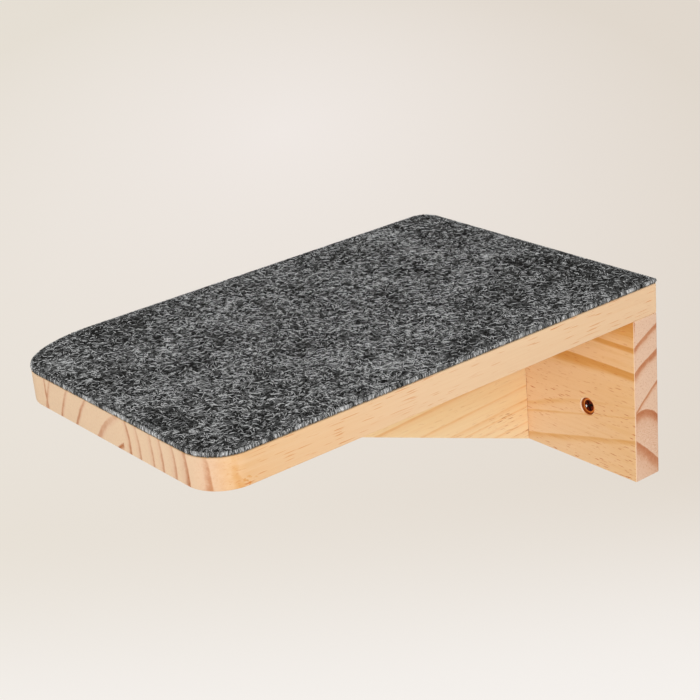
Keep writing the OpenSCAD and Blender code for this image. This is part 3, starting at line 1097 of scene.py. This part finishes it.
# %% Lying fibres
def lying(name, count, seed, lift):
    """Fibres that lie in swirls on the felt."""
    draw = np.random.default_rng(seed)
    x = draw.uniform(-100, 100, 2 * count)
    y = draw.uniform(-310, 0, 2 * count)
    inside = on_felt(x, y, 1.2)
    x, y = x[inside][:count], y[inside][:count]
    count = len(x)
    angle = 3.4 * patches(x, y, 24, 3.0) + draw.normal(0, 0.7, count)
    paths = wander(x, y, angle, draw.normal(0, 0.6, count), draw.uniform(0.9, 2.1, count))
    # The carpet is a touch darker towards its ends and at two of its corners than in the middle.
    middle = 0.29 - 0.07 * ((y + 190) / 150) ** 2
    middle -= 0.065 * np.maximum(0, x / 100 * (y + 150) / 150)
    cloud = 0.14 * patches(x, y, 12, 7.0) + 0.24 * patches(x, y, 34, 2.0)
    shades = np.clip(middle + cloud + draw.normal(0, 0.42, count), 0.0, 1)
    # Pale fibres have worked their way to the top, and all lie flatter by the rim.
    arch = lift * (0.4 + 0.6 * shades) * draw.uniform(0.7, 1, count) * np.where(on_felt(x, y, 4), 1, 0.5)
    paths[:, :, 2] = FELT_TOP + arch[:, None] * np.array([-0.2, 1.0, 0.8, -0.2])
    ends = on_felt(paths[:, -1, 0], paths[:, -1, 1], 0.3)
    thick = draw.uniform(0.24, 0.44, count)
    return strands(name, paths[ends], thick[ends], shades[ends])


FIBRES = 15600
fibre_pieces = [lying("carpet_fibres_" + mark, FIBRES, seed, lift)
                for mark, seed, lift in (("a", 11, 0.35), ("b", 12, 0.42), ("c", 13, 0.49), ("d", 14, 0.56),
                                         ("e", 15, 0.63), ("f", 16, 0.7))]
print(len(fibre_pieces), "layers of fibres")

# %% [markdown]
# ## Fuzz along the rim
# Where the knife went through the felt, short ends stick out and catch the light, so the rim looks paler and
# fuzzier than the middle. These are the same fibres, shorter and given a lighter shade as painted light, and
# they lie every way.

# %% Rim fuzz
def rim_fuzz(name, count, seed, reach):
    """Short pale fibres that lie along the rim."""
    draw = np.random.default_rng(seed)
    x = draw.uniform(-100, 100, 40 * count)
    y = draw.uniform(-310, 0, 40 * count)
    rim = on_felt(x, y, 0.2) & ~on_felt(x, y, reach)
    x, y = x[rim][:count], y[rim][:count]
    count = len(x)
    angle = draw.uniform(0, 2 * pi, count)
    paths = wander(x, y, angle, draw.normal(0, 0.5, count), draw.uniform(0.4, 0.9, count))
    arch = draw.uniform(0.05, 0.3, count)
    paths[:, :, 2] = FELT_TOP + arch[:, None] * np.array([-0.3, 1.0, 0.8, -0.3])
    ends = on_felt(paths[:, -1, 0], paths[:, -1, 1], 0.0)
    # A lighter shade than the lying fibres: painted light on the rim.
    shades = np.clip(draw.normal(0.44, 0.3, count), 0.0, 1)
    thick = draw.uniform(0.35, 0.6, count)
    return strands(name, paths[ends], thick[ends], shades[ends])


FUZZ = 6500
fibre_pieces.append(rim_fuzz("carpet_rim_fuzz", FUZZ, 21, 4.5))
print("rim fuzz lies within 4.5 mm of the cut")

# %% [markdown]
# ## Along the cut
# Other ends hang over the cut wall, so they need places along the outline. A curve object could be sampled,
# but four quarter ellipses with straight lines between them are the whole outline, and it is quick to walk.

# %% Outline points
def outline_points(count, draw):
    """Random points on the carpet's outline, with the directions along it and outwards at each."""
    path = []
    for corner, start in ((3, 90), (1, 0), (0, -90), (2, -180)):
        x, y, reach_x, reach_y = FELT_CORNERS[corner]
        turn = np.radians(np.linspace(start, start - 90, 24))
        way_y = -1 if y < -100 else 1
        path.append(np.column_stack([x - np.sign(x) * reach_x + reach_x * np.cos(turn),
                                     y - way_y * reach_y + reach_y * np.sin(turn)]))
    path = np.concatenate(path + [path[0][:1]])
    steps = np.hypot(*np.diff(path, axis=0).T)
    run = np.concatenate([[0], np.cumsum(steps)])
    where = np.sort(draw.uniform(0, run[-1], count))
    spots = np.column_stack([np.interp(where, run, path[:, i]) for i in range(2)])
    ahead = np.column_stack([np.interp((where + 0.5) % run[-1], run, path[:, i]) for i in range(2)]) - spots
    ahead /= np.hypot(*ahead.T)[:, None]
    return spots, ahead, np.column_stack([-ahead[:, 1], ahead[:, 0]])


print("outline turns at", len(FELT_CORNERS), "corners")

# %% [markdown]
# ## Fuzz on the cut wall
# These ends start just inside the rim, bulge a little outwards and reach down as far as the wood, so they
# hide the slab behind them. Four points are enough for such a short bend.

# %% Wall fuzz
def wall_fuzz(name, count, seed):
    """Fibre ends that hang over the cut wall, from the rim to the wood."""
    draw = np.random.default_rng(seed)
    spots, ahead, out = outline_points(count, draw)
    slant = draw.normal(0, 0.8, count)
    bulge = draw.uniform(0.05, 0.3, count)
    inner = draw.uniform(0.3, 1.6, count)
    foot = draw.uniform(FELT_LOW[2] - 0.35, FELT_LOW[2] + 0.35, count)
    paths = np.zeros((count, POINTS, 3))
    for i, share in enumerate((0.0, 0.4, 0.7, 1.0)):
        push = (-inner, 0 * inner, bulge, bulge)[i]
        paths[:, i, :2] = spots + ahead * (slant * share)[:, None] + out * push[:, None]
        paths[:, i, 2] = (FELT_TOP + 0.1, FELT_TOP + 0.1, (FELT_TOP + foot) / 2, foot)[i]
    # The fuzz is combed out pale in some places and stays dark in others.
    cloud = patches(spots[:, 0], spots[:, 1], 9, 5.0)
    shades = np.clip(0.58 + 0.5 * cloud + draw.normal(0, 0.3, count), 0.0, 1)
    return strands(name, paths, draw.uniform(0.4, 0.7, count), shades)


fibre_pieces.append(wall_fuzz("carpet_edge_fuzz", FUZZ, 22))
print(len(fibre_pieces), "pieces of fibre in all")

# %% [markdown]
# ## The carpet's corners
# Its rounded corners take a little off the carpet's area, since a quarter ellipse fills only pi / 4 of its
# box.

# %% [markdown]
# ## Yellow zinc
# The screws are steel, plated with zinc and dipped in a yellow passivation against rust. That shifts between
# gold and a faint rose over a few millimetres, and its gloss shifts with it. Metal has no colour of its own
# beyond its reflections, so the tint is in the metallic base colour.

# %% Zinc finish
zinc = mottled("yellow passivated zinc, plated steel", 3, "#E08A3E", "#CC7034", metallic=1.0)
tree = zinc.node_tree
shift = tree.nodes["Noise Texture"].outputs["Fac"]
rough = add(tree, "MapRange", {"Value": shift}, {"To Min": 0.22, "To Max": 0.42})
tree.links.new(rough, tree.nodes["Principled BSDF"].inputs["Roughness"])
print(zinc.name, "ready")

# %% [markdown]
# ## Painted shade in the screw head, and the driver's wear
# In the cross recess the steel is painted near black: painted shade, deep in the recess. Between the arms
# the plating is painted a dark red-brown: painted shade on the sunken head. One wall takes the driver's
# push and is polished to bare steel, which is the glint in the hole. A mask on one material could mix these,
# but the cut's faces part them cleanly.

# %% Painted shade and worn steel
# Two of these finishes are painted shade: near black in the recess, dark red-brown on the head's flats.
recess = mottled("steel darkened by painted shade, in a screw's recess", 0.8, "#140602", "#34140A", roughness=0.6)
recess.node_tree.nodes["Principled BSDF"].inputs["Specular IOR Level"].default_value = 0.15
shaded_zinc = mottled("zinc darkened by painted shade", 1.2, "#702008", "#3E0E04", metallic=1.0)
steel = mottled("bare steel, polished by wear", 0.6, "#E8E6E2", "#CFCBC4", roughness=0.25, metallic=1.0)
print(recess.name, "and", shaded_zinc.name, "and", steel.name, "ready")

# %% [markdown]
# ## The screw's head and core
# A wood screw is turned from a rod, so its head and core are one spun profile with a shallow dish at the
# top. The cross is cut by two tapered arms, wide at the mouth and bent halfway down, as a driver's tip is.

# %% Head and core
NECK = PLATE_THICK - WALL_SINK
TWIST = radians(24)
WALL_LENGTH = 50.0
TIP = 7.0
CORE = 1.7
SHANK = 1.8
ARM_BEND = -0.8


def cross_cutter():
    """The two arms of the cross."""
    arms = []
    for spin in (TWIST, TWIST + pi / 2):
        arm = block((-3.4, -0.8, -2.3), (3.4, 0.8, 0.5))
        bmesh.ops.bisect_plane(arm, geom=arm.verts[:] + arm.edges[:] + arm.faces[:],
                               plane_co=(0, 0, ARM_BEND), plane_no=(0, 0, 1))
        for v in arm.verts:
            if v.co.z < 0:
                v.co.x *= 0.82 if v.co.z > -1 else 0.46
                v.co.y *= 0.9 if v.co.z > -1 else 0.7
        bmesh.ops.rotate(arm, verts=arm.verts, cent=(0, 0, 0), matrix=Matrix.Rotation(spin, 3, "Z"))
        arms.append(arm)
    return arms


def head_and_core():
    """The turned part of the screw, head up, with its cross."""
    rim = WALL_HEAD / 2
    turning = turned([(0, -0.2), (3.7, -0.12), (4.05, 0), (4.5, 0), (4.72, -0.1), (rim, -0.25),
                      (rim, -HEAD_RIM), (SHANK, -3.4), (SHANK, -NECK), (CORE, -NECK - 0.3),
                      (CORE, -WALL_LENGTH + TIP), (0.25, -WALL_LENGTH + 0.2), (0, -WALL_LENGTH)],
                     Matrix.Identity(4), 48)
    for arm in cross_cutter():
        turning = cut_away(turning, arm)
    return turning


print("wall screw", WALL_THREAD, "x", WALL_LENGTH, "mm")

# %% [markdown]
# ## The screw's thread
# A thread is a sharp ridge that winds round the core. It could be a bump, but it shows against the light
# behind the plate, so it is real: a triangle spins round the core and moves along it, as a lathe cuts it,
# and shrinks over the tip.

# %% Thread
PITCH = 2.4
TURNS = 12.4
TURN_STEPS = 20


def thread_ridge():
    """The thread, from the neck to the point."""
    thread = bmesh.new()
    tooth = [thread.verts.new(place) for place in (
        (CORE - 0.3, 0, 0.75), (WALL_THREAD / 2, 0, 0), (CORE - 0.3, 0, -0.75))]
    sides = [thread.edges.new(pair) for pair in zip(tooth, tooth[1:] + tooth[:1])]
    bmesh.ops.translate(thread, vec=(0, 0, -NECK - 0.8), verts=tooth)
    bmesh.ops.spin(thread, geom=tooth + sides, axis=(0, 0, 1), cent=(0, 0, 0), angle=2 * pi * TURNS,
                   steps=round(TURN_STEPS * TURNS), dvec=(0, 0, -PITCH / TURN_STEPS))
    bmesh.ops.holes_fill(thread, edges=[e for e in thread.edges if e.is_boundary], sides=4)
    bmesh.ops.recalc_face_normals(thread, faces=thread.faces)
    for v in thread.verts:
        run = (-WALL_LENGTH + TIP - v.co.z) / TIP
        if run > 0:
            v.co.x *= max(1 - 0.9 * run, 0.1)
            v.co.y *= max(1 - 0.9 * run, 0.1)
    return thread


print("thread has", TURNS, "turns")

# %% [markdown]
# ## The wall screws
# One screw goes in at each side of the brace. Faces are told apart by their place and direction: the flats
# between the arms get painted shade, the recess gets a near-black painted shade, and a small patch high on
# one wall is bare steel.

# %% Wall screws
def wall_screw(name, x):
    """One wood screw, head to the front and point into the wall."""
    whole = joined([head_and_core(), thread_ridge()])
    bmesh.ops.transform(whole, matrix=Matrix.Translation((x, -NECK, 0)) @ FACING_FRONT, verts=whole.verts)
    screw = keep(whole, name, zinc, 35)
    for finish in (recess, shaded_zinc, steel):
        screw.data.materials.append(finish)
    pushed = Vector((cos(TWIST), 0, sin(TWIST)))
    for face in screw.data.polygons:
        spot = (face.center / MM) - Vector((x, -NECK, 0))
        out = Vector((spot.x, spot.z)).length
        # The head's flats and the recess get painted shade, and one wall gets bare steel.
        if face.normal.y < -0.98 and out < 3.8 and spot.y < 0.3:
            face.material_index = 2
        elif 0.2 < spot.y < 2.6 and out < 3.2:
            worn = face.normal.dot(pushed) > 0.75 and spot.dot(pushed) < -1.5 and spot.y < 0.9
            face.material_index = 3 if worn else 1
    return screw


for side, x in zip(("left", "right"), WALL_SCREWS):
    screw = wall_screw("wall_screw_" + side + "_cut", x)
    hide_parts("wall_screw_" + side)
    print(screw.name, len(screw.data.polygons), "faces")

# %% [markdown]
# ## Beech and adhesive film
# Turned beech shows short flecks along its fibres, about 0.5 mm wide and 3 mm long, so its noise is squeezed
# as the pine's is. The tissue in the adhesive film gives it cloudy patches of about 2 mm.

# %% Beech and film
beech, tree, shader = start_material("turned beech, dowel")
place = add(tree, "TexCoord", out="Object")
fleck = add(tree, "Mapping", {"Vector": place}, {"Scale": (2000, 2000, 330)})
fleck = add(tree, "TexNoise", {"Vector": fleck}, {"Scale": 1.0, "Detail": 2.0})
tone = add(tree, "Mix", {0: fleck}, {6: linear("#E2BF95"), 7: linear("#C4966A")}, data_type="RGBA")
tree.links.new(tone, shader.inputs["Base Color"])
shader.inputs["Roughness"].default_value = 0.6

film = mottled("acrylic adhesive film on tissue", 2, "#EFE9DA", "#DCD3BE", roughness=0.4, detail=3.0)
print(beech.name, "and", film.name, "ready")

# %% [markdown]
# ## Hidden fixings
# The joining screws, the dowels and the adhesive sheet lie inside the shelf, and only two flat screw heads
# show, at the plate's back. They could be modelled with threads and flutes, but their CAD shapes are right
# for what is seen of them. So they keep those shapes and only get finishes.

# %% Hidden fixings
FINISHES = {"yellow_zinc": zinc, "beech": beech, "adhesive_film": film}
for part in frame["record"]["subparts"]:
    node = frame["nodes"][part["node"]]
    if part["material_slot"] in FINISHES and not node.hide_render:
        node.data.materials.clear()
        node.data.materials.append(FINISHES[part["material_slot"]])
        print(part["node"], "is", FINISHES[part["material_slot"]].name)
